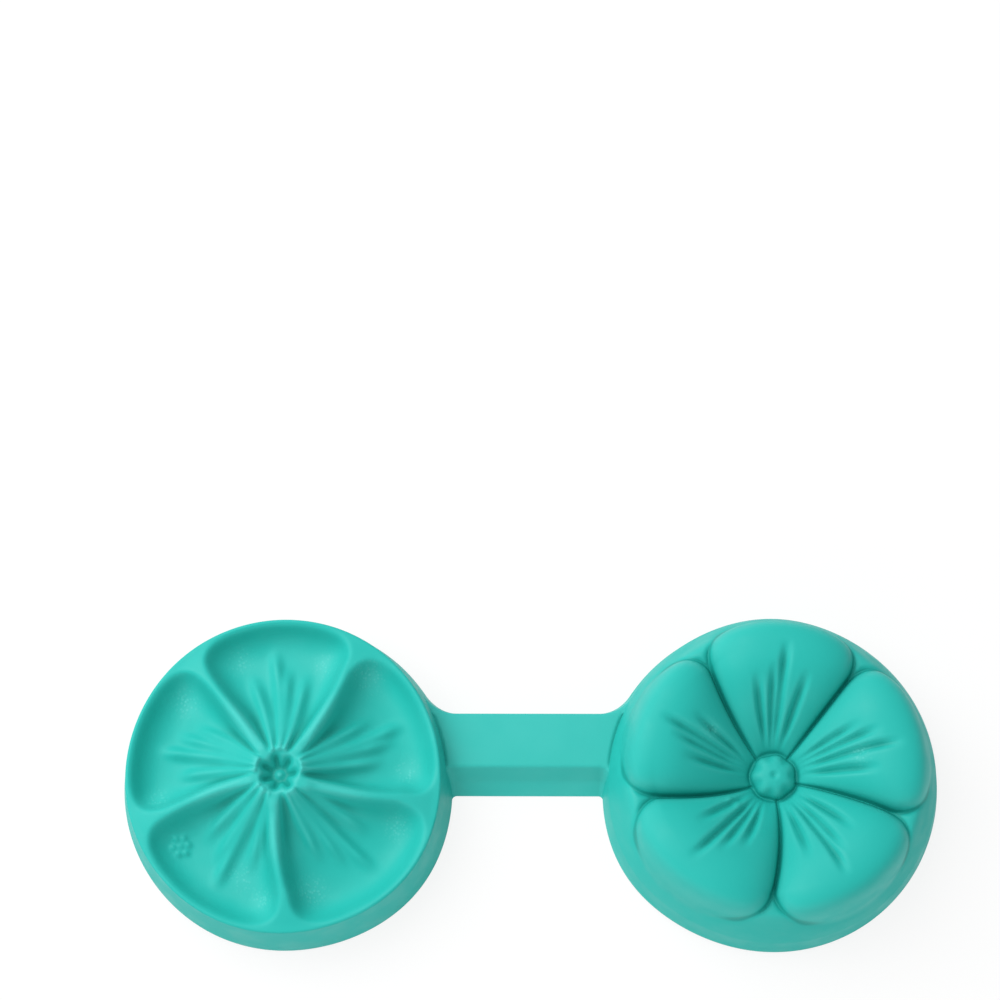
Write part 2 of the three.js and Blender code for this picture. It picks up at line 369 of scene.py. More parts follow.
    def height(self, x: Array, y: Array) -> Array:
        """Height of the raised flower.

        Args:
            x: Places along the mold.
            y: Places across the mold.

        Returns:
            The height at each point.
        """
        r = np.hypot(x, y)
        degrees = np.degrees(np.arctan2(y, x))
        edge_radius = self.wall_radius(self.edge_height)
        start = self.flower_start
        slope = self.funnel_depth / (edge_radius - start)
        funnel = self.edge_height - slope * (edge_radius - np.maximum(r, start))
        wall = self.plate_top + (self.wall_radius(self.plate_top) - r) / self.flare_lean
        off, half = self.creases(r, degrees)
        swell = self.swell(off, half, r)
        pillow = np.maximum(0.0, swell) ** self.pillow_power
        high = smoothstep((wall - self.plate_top) / self.edge_fade)
        blend = self.edge_round + (self.tip_round - self.edge_round) * pillow
        ground = soft_min(funnel, wall, blend * high)
        cut = np.exp(-((off / self.crease_reach) ** 2))
        ground = ground - self.crease_cut * cut * smoothstep((self.crease_end - r) / self.crease_fade)
        ground = ground - self.outline_cut * high * np.exp(-((swell / self.outline_reach) ** 2))
        rise = np.sin(np.pi / 2 * np.clip((r - start) / self.swell_length, 0.0, 1.0)) ** self.swell_power
        outward = np.clip((r - self.fall_from) / (self.tip_radius - self.fall_from), 0.0, 1.0)
        fall = self.tip_fall * outward**2
        flower = ground + pillow * (self.petal_swell * rise - fall - self.veins(r, degrees))
        inside = self.knob(np.minimum(r, self.knob_radius), degrees)
        return np.where(r < self.knob_radius, np.maximum(inside, self.funnel_bottom), flower)


@dataclass(frozen=True)
class LobeRelief(FlowerRelief):
    """The flower as the cavity half has it: squarer lobes that rise in a long slope to the rim."""

    flare_lean: float = 0.17
    lip_width: float = 1.0
    knob_radius: float = 3.5
    scallop: float = 0.05
    dent_depth: float = 0.5
    dent_reach: float = 0.75
    dent_spread: float = 0.4
    dimple_depth: float = 0.9
    dimple_radius: float = 1.3
    side_power: float = 7.0
    tip_power: float = 5.5
    tip_fall: float = 0.0
    pillow_power: float = 0.9
    edge_round: float = 0.5
    crease_cut: float = 0.0
    outline_cut: float = 0.0
    ridge_half_width: float = 0.85
    vein_half_width: float = 1.5
    vein_share: float = 0.17
    vein_start: float = 0.1
    vein_gain: float = 2.2
    vein_extra: float = 1.5
    crown_gain: float = 0.1
    sag: float = 3.1
    sag_reach: float = 26.0
    lean: float = 0.8
    lean_reach: float = 13.0

    def height(self, x: Array, y: Array) -> Array:
        """Height of the cavity that the mirrored flower leaves. Its crown sags and leans to the front.

        Args:
            x: Places along the mold.
            y: Places across the mold.

        Returns:
            The height at each point.
        """
        r = np.hypot(x, y)
        sag = self.sag * (1.0 - smoothstep(r / self.sag_reach))
        y = y + self.lean * (1.0 - smoothstep(r / self.lean_reach))
        rim = np.where(np.hypot(x, y) > self.wall_radius(self.edge_height), self.rim_height, np.inf)
        return np.minimum(self.parting_sum - super().height(-x, y), rim) - sag


class HeightMap:
    """A relief kept on a square grid with its edges softened, as casting leaves them.

    Attributes:
        heights: Height of each cell, in millimetres.
        crest: How far each cell stands above the cells round it, fading out towards the rim; it places
            the painted shade and painted highlight.
    """

    reach = 31.0
    step = 0.08
    sharp_share = 0.8
    soft_share = 2.0
    crest_blur = 0.6
    edge_margin = 1.001

    def __init__(self, half: "MoldHalf") -> None:
        """Samples and softens the flower of a half, sharper at its knob.

        Args:
            half: The half.
        """
        line = np.arange(-self.reach, self.reach + self.step / 2, self.step)
        x, y = np.meshgrid(line, line)
        raw = half.relief.height(x, y)
        fine = soften(raw, half.sharp / self.step)
        broad = soften(raw, half.soft / self.step)
        r = np.hypot(x, y)
        knob_radius = half.relief.knob_radius
        share = smoothstep((r - knob_radius * self.sharp_share) / (knob_radius * self.soft_share))
        self.heights = fine + (broad - fine) * share + sum(lump.at(x, y) for lump in half.lumps)
        crest = self.heights - soften(self.heights, self.crest_blur / self.step)
        self.crest = crest * smoothstep((half.crest_end - r) / half.crest_fade)

    def sample(self, grid: Array, x: Array, y: Array) -> Array:
        """Reads a grid between its cells.

        Args:
            grid: Heights or crests on the grid.
            x: Places along the mold.
            y: Places across the mold.

        Returns:
            The value at each place.
        """
        last = len(grid) - self.edge_margin
        u = np.clip((x + self.reach) / self.step, 0.0, last)
        v = np.clip((y + self.reach) / self.step, 0.0, last)
        i, j = u.astype(int), v.astype(int)
        s, t = u - i, v - j
        low = grid[j, i] * (1.0 - s) + grid[j, i + 1] * s
        high = grid[j + 1, i] * (1.0 - s) + grid[j + 1, i + 1] * s
        return low * (1.0 - t) + high * t


def mesh_object(name: str, points: Array, faces: list[Face]) -> Piece:
    """Makes a smooth-shaded object of points in millimetres.

    Args:
        name: Name of the piece.
        points: Corners, in millimetres.
        faces: Corner numbers of each face.

    Returns:
        The new object, linked to the scene.
    """
    mesh = bpy.data.meshes.new(name)
    mesh.from_pydata((points * MM).tolist(), [], faces)
    mesh.validate()
    mesh.shade_smooth()
    piece = bpy.data.objects.new(name, mesh)
    bpy.context.scene.collection.objects.link(piece)
    return piece


def mark(piece: Piece, name: str, values: Array) -> None:
    """Keeps a value at each corner of a piece, by name, for its material to read."""
    attribute = piece.data.attributes.new(name, "FLOAT", "POINT")
    attribute.data.foreach_set("value", values.astype(np.float32))


def ring_quads(grid: Array) -> list[Face]:
    """Faces between closed rings of corners, whose numbers have one row for each ring."""
    nxt = np.roll(grid, -1, axis=1)
    return np.stack([grid[:-1], nxt[:-1], nxt[1:], grid[1:]], axis=-1).reshape(-1, 4).tolist()


def skin_faces(rings: int, segments: int) -> list[Face]:
    """Faces of a closed skin: a pole, rings of equal count, and a pole.

    Args:
        rings: Number of rings.
        segments: Corners in each ring.

    Returns:
        The corner numbers of each face.
    """
    grid = 1 + np.arange(rings * segments).reshape(rings, segments)
    first, last = grid[0].tolist(), grid[-1].tolist()
    top = rings * segments + 1
    faces = ring_quads(grid)
    faces += [[0, b, a] for a, b in zip(first, first[1:] + first[:1])]
    faces += [[top, a, b] for a, b in zip(last, last[1:] + last[:1])]
    return faces


def tube_object(name: str, rings: list[Array]) -> Piece:
    """Makes a closed tube of equal rings with a flat face at each end.

    Args:
        name: Name of the piece.
        rings: Corners of each ring, in millimetres.

    Returns:
        The new object, linked to the scene.
    """
    grid = np.arange(len(rings) * len(rings[0])).reshape(len(rings), -1)
    faces = [*ring_quads(grid), grid[0][::-1].tolist(), grid[-1].tolist()]
    piece = mesh_object(name, np.concatenate(rings), faces)
    piece.data.set_sharp_from_angle(angle=END_ANGLE)
    return piece


@dataclass
class MoldHalf:
    """What both halves share: a round foot and a leaning wall under a flower relief."""

    centre_x: float
    body: str
    turn: Turn
    relief: FlowerRelief
    lumps: tuple[Spot, ...]
    bubbles: tuple[Spot, ...]
    bulges: tuple[Bulge, ...]
    places: int = 120
    flank_crowding: float = 0.7
    base_share: float = 0.5
    foot_round: float = 0.6
    foot_steps: int = 4
    wall_steps: int = 14
    flower_step: float = 0.2
    knob_margin: float = 0.5
    edge_steps: int = 24
    knob_steps: int = 24
    sharp: float = 0.14
    soft: float = 0.16
    crest_end: float = 26.9
    crest_fade: float = 1.2
    bulge_from: float = 14.0

    def foot(self) -> list[Span]:
        """Makes the rings round the foot.

        Returns:
            The radius and height of each ring, from the table up.
        """
        rings = [(self.relief.disc_radius * self.base_share, 0.0)]
        for i in range(self.foot_steps + 1):
            turn = math.pi / 2 * i / self.foot_steps
            radius = self.relief.wall_radius(self.foot_round) - self.foot_round * (1 - math.sin(turn))
            rings.append((radius, self.foot_round * (1 - math.cos(turn))))
        return rings

    def flower_radii(self, outer: float) -> Array:
        """Radii of the rings over the flower, from the outside in.

        Args:
            outer: Radius of the first ring.

        Returns:
            The radii.
        """
        near = self.relief.flower_start + self.knob_margin
        far = self.relief.knob_radius - self.knob_margin
        petals = np.linspace(outer, near, round((outer - near) / self.flower_step) + 1)
        edge = np.linspace(near, far, self.edge_steps + 1)
        knob = np.linspace(far, 0.0, self.knob_steps + 1)
        return np.concatenate([petals, edge[1:], knob[1:-1]])

    def directions(self, radii: Array) -> Array:
        """Directions of the corners of each ring, close together beside the creases.

        Args:
            radii: Radii of the rings.

        Returns:
            One row of directions for each ring, in radians.
        """
        even = np.linspace(-1.0, 1.0, self.places + 1)[1:]
        across = even + self.flank_crowding * np.sin(np.pi * even) / np.pi
        petals = []
        for before, after in zip(CREASES, CREASES[1:] + CREASES[:1]):
            first = self.relief.line(before, radii[:, None])
            width = np.mod(self.relief.line(after, radii[:, None]) - first, 360.0)
            petals.append(first + width * (across + 1.0) / 2.0)
        degrees = np.concatenate(petals, axis=1)
        if self.turn is Turn.SUNK:
            degrees = (180.0 - degrees)[:, ::-1]
        return np.radians(degrees)

    def spread(self, points: Array) -> None:
        """Moves corners out where the half is out of round.

        Args:
            points: Corners from the middle of the half, which are moved in place.
        """
        r = np.hypot(points[:, 0], points[:, 1])
        out = sum(bulge.at(np.degrees(np.arctan2(points[:, 1], points[:, 0]))) for bulge in self.bulges)
        share = smoothstep((r - self.bulge_from) / (self.relief.disc_radius - self.bulge_from))
        points[:, :2] *= (1.0 + share * out / np.maximum(r, self.bulge_from))[:, None]

    def skin(self, name: str, profile: list[Span], radii: Array) -> Piece:
        """Builds the skin of a half.

        Args:
            name: Name of the piece.
            profile: Radius and height of the plain rings, from the table up.
            radii: Radii of the rings over the flower, from the outside in.

        Returns:
            The piece, standing at its place.
        """
        heights = HeightMap(self)
        plain = np.array(profile)
        turn = self.directions(plain[:, 0])
        out, up = plain[:, :1], np.broadcast_to(plain[:, 1:], turn.shape)
        foot = np.stack([out * np.cos(turn), out * np.sin(turn), up], axis=-1)
        turn = self.directions(radii)
        x, y = radii[:, None] * np.cos(turn), radii[:, None] * np.sin(turn)
        flower = np.stack([x, y, heights.sample(heights.heights, x, y)], axis=-1)
        middle = heights.sample(heights.heights, np.zeros(1), np.zeros(1))
        points = np.concatenate(
            [np.zeros((1, 3)), foot.reshape(-1, 3), flower.reshape(-1, 3), [[0.0, 0.0, middle[0]]]]
        )
        crest = np.zeros(len(points))
        crest[1 + foot.size // 3 : -1] = heights.sample(heights.crest, x, y).ravel()
        bubbles = sum(patch.at(points[:, 0], points[:, 1]) for patch in self.bubbles)
        self.spread(points)
        points[:, 0] += self.centre_x
        piece = mesh_object(name, points, skin_faces(len(plain) + len(radii), turn.shape[1]))
        # The crest values place the painted shade and painted highlight in the material.
        mark(piece, "crest", crest)
        mark(piece, "bubbles", np.clip(bubbles, 0.0, 1.0))
        return piece


@dataclass
class CavityHalf(MoldHalf):
    """The half with the flower sunk into a cup."""

    centre_x: float = -HALF_PLACE
    body: str = "cavity_half"
    turn: Turn = Turn.SUNK
    relief: FlowerRelief = field(default_factory=LobeRelief)
    sharp: float = 0.25
    soft: float = 0.48
    crest_end: float = 21.0
    crest_fade: float = 13.0
    lumps: tuple[Spot, ...] = (
        Spot(-17.5, -12.3, 0.7, 0.6), Spot(-16.2, -12.0, 0.6, 0.55), Spot(-17.0, -11.0, 0.6, 0.55),
        Spot(-18.3, -11.2, 0.6, 0.55), Spot(-18.8, -12.6, 0.6, 0.55), Spot(-17.9, -13.6, 0.6, 0.55),
        Spot(-16.6, -13.4, 0.6, 0.55), Spot(-3.1, 3.5, 1.2, 0.3), Spot(3.6, 3.3, 1.2, 0.3),
        Spot(4.8, -3.0, 1.2, 0.3), Spot(-0.7, -6.0, 1.2, 0.3), Spot(-5.0, -2.2, 1.2, 0.3),
    )
    bubbles: tuple[Spot, ...] = (
        Spot(-17.5, 13.1, 2.2, 0.9), Spot(14.6, 17.5, 2.4, 0.9), Spot(21.6, 1.0, 1.8, 1.0),
        Spot(19.8, -8.6, 2.0, 0.8), Spot(5.8, -19.8, 2.2, 0.9), Spot(-2.9, -21.6, 1.8, 0.8),
        Spot(-6.4, -17.5, 2.0, 0.9), Spot(-21.6, -4.3, 1.8, 0.9), Spot(-8.1, 20.5, 2.0, 0.8),
        Spot(6.9, 19.8, 2.0, 0.8),
    )
    bulges: tuple[Bulge, ...] = (
        Bulge(-38.0, 28.0, 0.9), Bulge(215.0, 35.0, -0.45), Bulge(165.0, 30.0, -0.3),
    )
    lip_round: float = 0.5
    lip_steps: int = 6

    def build(self) -> Piece:
        """Builds the cup's skin.

        Returns:
            The piece, standing at its place.
        """
        relief = self.relief
        start, end = self.foot_round, relief.rim_height - self.lip_round
        wall = [(relief.wall_radius(z), z) for z in np.linspace(start, end, self.wall_steps)[1:]]
        lip = []
        for i in range(1, self.lip_steps + 1):
            turn = math.pi / 2 * i / self.lip_steps
            radius = relief.wall_radius(end) - self.lip_round * (1 - math.cos(turn))
            lip.append((radius, end + self.lip_round * math.sin(turn)))
        radii = self.flower_radii(lip[-1][0] - self.flower_step)
        piece = self.skin("cavity_cup_skin", [*self.foot(), *wall, *lip], radii)
        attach(piece, self.body)
        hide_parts("cavity_cup")
        return piece


@dataclass
class PetalHalf(MoldHalf):
    """The half with the flower raised on a plate."""

    centre_x: float = HALF_PLACE
    body: str = "petal_half"
    turn: Turn = Turn.RAISED
    relief: FlowerRelief = field(default_factory=FlowerRelief)
    lumps: tuple[Spot, ...] = (
        Spot(-6.8, -5.3, 0.7, 0.3), Spot(-7.9, -4.6, 0.6, 0.25), Spot(14.2, 2.5, 0.7, -0.25),
        Spot(-11.1, 6.9, 0.6, -0.2),
    )
    bubbles: tuple[Spot, ...] = (
        Spot(14.2, 2.5, 1.6, 0.8), Spot(-11.1, 6.9, 1.4, 0.8),
    )
    bulges: tuple[Bulge, ...] = (
        Bulge(210.0, 26.0, 0.9), Bulge(35.0, 50.0, 0.6), Bulge(88.0, 24.0, 0.5),
    )

    def build(self) -> Piece:
        """Builds the plate's and petals' skin.

        Returns:
            The piece, standing at its place.
        """
        relief = self.relief
        heights = np.linspace(self.foot_round, relief.plate_top, self.wall_steps)[1:]
        wall = [(relief.wall_radius(z), z) for z in heights]
        radii = self.flower_radii(wall[-1][0] - self.flower_step / 2)
        piece = self.skin("petal_half_skin", [*self.foot(), *wall], radii)
        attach(piece, self.body)
        petals = [f"petal_{k}" for k in range(1, len(CREASES) + 1)]
        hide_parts("petal_plate", "centre_knob", *petals)
        return piece


@dataclass(frozen=True)
class RootFlare:
    """How the strap widens where it grows out of a half.

    Attributes:
        half: Middle of the half along the mold, in millimetres.
        body: Body of the half.
        back: Size of the fillet behind, in millimetres.
        front: Size of the fillet in front, in millimetres.
    """

    half: float
    body: str
    back: float
    front: float


@dataclass
class Strap:
    """The flexible strap: a root on each half, and one skin across each fold line between them."""

    thickness: float = 5.8
    top_front: float = 2.3
    top_back: float = 11.7
    back_lean: float = 1.2
    front_lean: float = 2.0
    skirt_run: float = 2.4
    skirt_height: float = 2.2
    top_round: float = 0.5
    foot_round: float = 0.3
    foot_lift: float = 0.05
    corner_steps: int = 5
    face_step: float = 0.5
    fold_lines: int = 6
    press_gap: float = 1.2
    root_margin: float = 0.9
    fold_steps: int = 14
    root_depth: float = 1.3
    root_inside: float = 0.15
    root_steps: int = 40
    crease_depth: float = 0.35
    crease_reach: float = 0.4
    flare_fall: float = 0.15
    fillet_share: float = 0.8
    relief: FlowerRelief = field(default_factory=FlowerRelief)
    flares: tuple[RootFlare, RootFlare] = (
        RootFlare(-HALF_PLACE, "cavity_half", 4.6, 1.4),
        RootFlare(HALF_PLACE, "petal_half", 4.2, 2.3),
    )

    def straight(self, start: Array, end: Array) -> list[Array]:
        """Even points between the ends of a straight face, without the ends themselves."""
        count = max(2, round(np.linalg.norm(end - start) / self.face_step))
        return [start + (end - start) * i / count for i in range(1, count)]

    def section(self) -> Array:
        """Draws the strap's outline across its length.

        Returns:
            The points of the outline as y and z, from the front of its foot round.
        """
        foot_front = self.top_front - self.front_lean - self.skirt_run
        corners = [
            (foot_front, self.foot_lift, self.foot_round),
            (self.top_back + self.back_lean, self.foot_lift, self.foot_round),
            (self.top_back, self.thickness, self.top_round),
            (self.top_front, self.thickness, self.top_round),
            (self.top_front - self.front_lean, self.skirt_height, self.top_round),
        ]
        outline: list[Array] = []
        for i, (y, z, radius) in enumerate(corners):
            here = np.array([y, z])
            before = np.array(corners[i - 1][:2]) - here
            after = np.array(corners[(i + 1) % len(corners)][:2]) - here
            start = here + before / np.linalg.norm(before) * radius
            end = here + after / np.linalg.norm(after) * radius
            if outline:
                outline.extend(self.straight(outline[-1], start))
            for t in np.linspace(0.0, 1.0, self.corner_steps + 1):
                outline.append((1 - t) ** 2 * start + 2 * t * (1 - t) * here + t * t * end)
        outline.extend(self.straight(outline[-1], outline[0]))
        return np.array(outline)

    def edges(self, z: Array) -> tuple[Array, Array]:
        """Finds the strap's flanks.

        Args:
            z: Heights.

        Returns:
            The places of the front flank and of the back flank.
        """
        flank = np.clip(1.0 - (z - self.skirt_height) / (self.thickness - self.skirt_height), 0.0, 1.0)
        skirt = np.clip(1.0 - z / self.skirt_height, 0.0, 1.0)
        front = self.top_front - self.front_lean * flank - self.skirt_run * skirt
        back = self.top_back + self.back_lean * (1.0 - z / self.thickness)
        return front, back

    @property
    def fold_pitch(self) -> float:
        """Distance between fold lines that leaves the press gap when the strap folds by half a turn."""
        turns = sum(math.sin(math.pi * i / self.fold_lines) for i in range(1, self.fold_lines))
        return (self.relief.parting_sum + self.press_gap - 2 * self.thickness) / turns

    def fold_place(self, fold: int) -> float:
        """Place of a fold line along the mold."""
        return (fold - (self.fold_lines - 1) / 2) * self.fold_pitch

    @property
    def strap_end(self) -> float:
        """Distance from the middle of the strap to where its roots begin."""
        return self.fold_place(self.fold_lines - 1) + self.root_margin

    def wall_place(self, y: Array, z: Array) -> Array:
        """Distance of a half's wall from the middle of the half, at places y across it and heights z."""
        return np.sqrt(np.maximum(self.relief.wall_radius(z) ** 2 - y**2, 0.0))

    def fillet(self, edge: Array, size: float, z: Array, end: float, along: float) -> tuple[Array, Array]:
        """Edge of the root on its way out of the wall, along a fillet and then straight on.

        Args:
            edge: Places of the plain edge across the strap.
            size: Size of the fillet, below 0 in front.
            z: Heights.
            end: Distance of the root's end from the middle of the half.
            along: Share of the way along the root.

        Returns:
            The place of the edge across the strap, and its share of the way from the wall to the end.
        """
        t = min(1.0, along / self.fillet_share)
        corner, foot = self.wall_place(edge, z), self.wall_place(edge + size, z)
        tip = np.minimum(corner + abs(size), end - self.root_margin / 2)
        x = (1 - t) ** 2 * foot + 2 * t * (1 - t) * corner + t * t * tip
        y = edge + size * (1 - t) ** 2
        straight = max(0.0, along - self.fillet_share) / (1.0 - self.fillet_share)
        x = x + straight * (end - x)
        wall = self.wall_place(y, z)
        return y, (x - wall) / (end - wall)

    def root(self, flare: RootFlare) -> Piece:
        """Builds the root of the strap on one half, with its fillets and the crease along the wall.

        Args:
            flare: How the root widens.

        Returns:
            The piece, standing at its place.
        """
        section = self.section()
        y0, z0 = section[:, 0], section[:, 1]
        front, back = self.edges(z0)
        share = (y0 - front) / (back - front)
        end = abs(flare.half) - self.strap_end
        toward = -1.0 if flare.half > 0 else 1.0
        on_top = smoothstep((z0 - self.thickness + self.top_round) / self.top_round)
        rings = []
        for step in np.linspace(-self.root_inside, 1.0, self.root_steps + 1):
            along = max(step, 0.0)
            front_y, front_out = self.fillet(front, -flare.front, z0, end, along)
            back_y, back_out = self.fillet(back, flare.back, z0, end, along)
            y = front_y + share * (back_y - front_y)
            wall = self.wall_place(y, z0)
            out = front_out + share * (back_out - front_out)
            x = wall + out * (end - wall) + self.root_depth * min(step, 0.0) / self.root_inside
            own = smoothstep((back - y) / self.top_round) * smoothstep((y - front) / self.top_round)
            groove = own * self.crease_depth * np.exp(-((out * (end - wall) / self.crease_reach) ** 2))
            fall = self.flare_fall * np.maximum(0.0, y - back)
            z = z0 - on_top * (fall + groove)
            rings.append(np.stack([flare.half + toward * x, y, z], axis=-1))
        if toward < 0:
            rings.reverse()
        piece = tube_object(f"strap_root_{flare.body}", rings)
        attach(piece, flare.body)
        return piece

    def fold(self, fold: int, bodies: list[str]) -> Piece:
        """Builds the skin across one fold line.

        Args:
            fold: Number of the fold line, from 0.
            bodies: Not used.

        Returns:
            The piece.
        """
        section = self.section()
        middle = self.fold_place(fold)
        half = self.fold_pitch / 2
        first, last = max(middle - half, -self.strap_end), min(middle + half, self.strap_end)
        rings = [
            np.column_stack([np.full(len(section), x), section])
            for x in np.linspace(first, last, self.fold_steps + 1)
        ]
        piece = tube_object(f"strap_fold_{fold + 1}", rings)
        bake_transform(piece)
        if fold > 0:
            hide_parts(f"strap_link_{fold}")
        return piece

    def build(self) -> list[Piece]:
        """Builds the roots and the skins between them.

        Returns:
            The pieces.
        """
        links = [f"link_{i}" for i in range(1, self.fold_lines)]
        bodies = [self.flares[0].body, *links, self.flares[1].body]
        roots = [self.root(flare) for flare in self.flares]
        return [*roots, *(self.fold(i, bodies) for i in range(self.fold_lines))]


class NodeKit:
    """Adds nodes to a material, a sky or a node group."""

    def __init__(self, tree: bpy.types.NodeTree) -> None:
        """Takes the tree that gets the nodes."""
        self.tree = tree

    def math(self, operation: str, first: Socket, second: Socket | float) -> Socket:
        """Adds a sum, a product or the like.

        Args:
            operation: Name of the operation.
            first: First value.
            second: Second value.

        Returns:
            The result.
        """
        node = self.tree.nodes.new("ShaderNodeMath")
        node.operation = operation
        self.tree.links.new(first, node.inputs[0])
        if isinstance(second, Socket):
            self.tree.links.new(second, node.inputs[1])
        else:
            node.inputs[1].default_value = second
        return node.outputs["Value"]

    def seen(self) -> Socket:
        """Adds a mask of the rays that show the background.

        Returns:
            The mask, 1 for rays of the camera, of reflections and through clear things.
        """
        path = self.tree.nodes.new("ShaderNodeLightPath").outputs
        mask = path["Is Camera Ray"]
        for ray in ("Is Glossy Ray", "Is Transmission Ray"):
            mask = self.math("MAXIMUM", mask, path[ray])
        return mask

    def mix(self, share: Socket, first: Socket, second: Socket, end: Socket) -> None:
        """Adds a mix of two shaders.

        Args:
            share: Share of the second shader.
            first: First shader.
            second: Second shader.
            end: Socket that takes the mix.
        """
        mix = self.tree.nodes.new("ShaderNodeMixShader")
        for i, socket in enumerate((share, first, second)):
            self.tree.links.new(socket, mix.inputs[i])
        self.tree.links.new(mix.outputs["Shader"], end)


class SurfaceGroup(NodeKit):
    """A shader node group that the silicone finishes share."""

    def __init__(self, name: str, inputs: dict[str, str], outputs: dict[str, str]) -> None:
        """Makes the group with its sockets and its two end nodes.

        Args:
            name: Name of the group.
            inputs: Kind of socket by name, for what goes in.
            outputs: Kind of socket by name, for what comes out.
        """
        super().__init__(bpy.data.node_groups.new(name, "ShaderNodeTree"))
        for label, kind in inputs.items():
            self.tree.interface.new_socket(label, in_out="INPUT", socket_type=kind)
        for label, kind in outputs.items():
            self.tree.interface.new_socket(label, in_out="OUTPUT", socket_type=kind)
        self.given = self.tree.nodes.new("NodeGroupInput").outputs
        self.result = self.tree.nodes.new("NodeGroupOutput").inputs

    def texture(self, kind: str, output: str, **settings: float) -> Socket:
        """Adds a texture over the piece.

        Args:
            kind: Kind of the texture's node.
            output: Name of the socket that gives the value.
            settings: Values of the texture's own sockets by name.

        Returns:
            The texture's value.
        """
        place = self.tree.nodes.new("ShaderNodeTexCoord")
        texture = self.tree.nodes.new(kind)
        for name, value in settings.items():
            texture.inputs[name].default_value = value
        self.tree.links.new(place.outputs["Object"], texture.inputs["Vector"])
        return texture.outputs[output]

    def noise(self, scale: float, detail: float) -> Socket:
        """Adds a noise with a number of waves in a metre and levels of finer waves."""
        return self.texture("ShaderNodeTexNoise", "Fac", Scale=scale, Detail=detail)

    def ramp(self, value: Socket, over: Span, to: Span = (0.0, 1.0)) -> Socket:
        """Adds a smooth step.

        Args:
            value: What is stepped.
            over: Values at which the step begins and ends.
            to: Results before and after it.

        Returns:
            The stepped value.
        """
        step = self.tree.nodes.new("ShaderNodeMapRange")
        step.interpolation_type = "SMOOTHSTEP"
        for name, (low, high) in (("From", over), ("To", to)):
            step.inputs[f"{name} Min"].default_value = low
            step.inputs[f"{name} Max"].default_value = high
        self.tree.links.new(value, step.inputs["Value"])
        return step.outputs["Result"]

    def blend(self, share: Socket, first: Socket, second: Socket) -> Socket:
        """Adds a mix of two colours.

        Args:
            share: Share of the second colour.
            first: First colour.
            second: Second colour.

        Returns:
            The mixed colour.
        """
        mix = self.tree.nodes.new("ShaderNodeMix")
        mix.data_type = "RGBA"
        for socket, name in ((share, "Factor"), (first, "A"), (second, "B")):
            self.tree.links.new(socket, mix.inputs[name])
        return mix.outputs["Result"]


class CastMottleAndPaintedLight(SurfaceGroup):
    """Colour of cast silicone in soft clouds, with painted highlight along crests and painted shade in
    hollows.
    """

    cloud_scale = 95.0
    cloud_detail = 3.0
    cloud_range = (0.42, 0.68)
    cloud_share = (0.0, 0.24)
    painted_shade_range = (-0.02, -0.35)
    crest_range = (0.02, 0.3)
    crest_share = (0.0, 0.8)

    def __init__(self) -> None:
        """Builds the group."""
        colours = dict.fromkeys(("Body", "PaleAndHighlight", "PaintedShade", "Speck"), "NodeSocketColor")
        values = dict.fromkeys(("Crest", "Dots"), "NodeSocketFloat")
        super().__init__("cast_mottle_and_painted_light", {**colours, **values}, {"Color": "NodeSocketColor"})
        given = self.given
        cloud = self.ramp(
            self.noise(self.cloud_scale, self.cloud_detail), self.cloud_range, self.cloud_share
        )
        colour = self.blend(cloud, given["Body"], given["PaleAndHighlight"])
        # Painted shade: the colour darkens in hollows, where shade falls.
        painted_shade = self.ramp(given["Crest"], self.painted_shade_range, self.crest_share)
        colour = self.blend(painted_shade, colour, given["PaintedShade"])
        # Painted highlight: the colour pales along crests.
        crest = self.ramp(given["Crest"], self.crest_range, self.crest_share)
        colour = self.blend(crest, colour, given["PaleAndHighlight"])
        colour = self.blend(given["Dots"], colour, given["Speck"])
        self.tree.links.new(colour, self.result["Color"])


class CastGrain(SurfaceGroup):
    """Skin of cast silicone: a fine grain, slow patches of shine, and trapped bubbles where asked."""

    cell_scale = 1600.0
    dot_range = (0.5, 0.15)
    dot_share = (0.3, 0.85)
    fine_scale = 2600.0
    patch_scale = 210.0
    noise_detail = 2.0
    patch_range = (0.35, 0.7)
    dot_gloss = 0.3
    fine_roughness = 0.06
    fine_height = 0.12
    dot_height = 1.2

    def __init__(self) -> None:
        """Builds the group."""
        values = dict.fromkeys(("Satin", "Shine", "Bubbles"), "NodeSocketFloat")
        out = dict.fromkeys(("Roughness", "Height", "Dots"), "NodeSocketFloat")
        super().__init__("cast_grain", values, out)
        cells = self.texture("ShaderNodeTexVoronoi", "Distance", Scale=self.cell_scale)
        dots = self.ramp(cells, self.dot_range, self.dot_share)
        dots = self.math("MULTIPLY", dots, self.given["Bubbles"])
        fine = self.noise(self.fine_scale, self.noise_detail)
        patches = self.ramp(self.noise(self.patch_scale, self.noise_detail), self.patch_range)
        satin = self.math("MULTIPLY", patches, self.given["Shine"])
        rough = self.math("SUBTRACT", self.given["Satin"], satin)
        rough = self.math("SUBTRACT", rough, self.math("MULTIPLY", dots, self.dot_gloss))
        rough = self.math("ADD", rough, self.math("MULTIPLY", fine, self.fine_roughness))
        height = self.math("MULTIPLY", fine, self.fine_height)
        height = self.math("ADD", height, self.math("MULTIPLY", dots, self.dot_height))
        for socket, name in ((rough, "Roughness"), (height, "Height"), (dots, "Dots")):
            self.tree.links.new(socket, self.result[name])


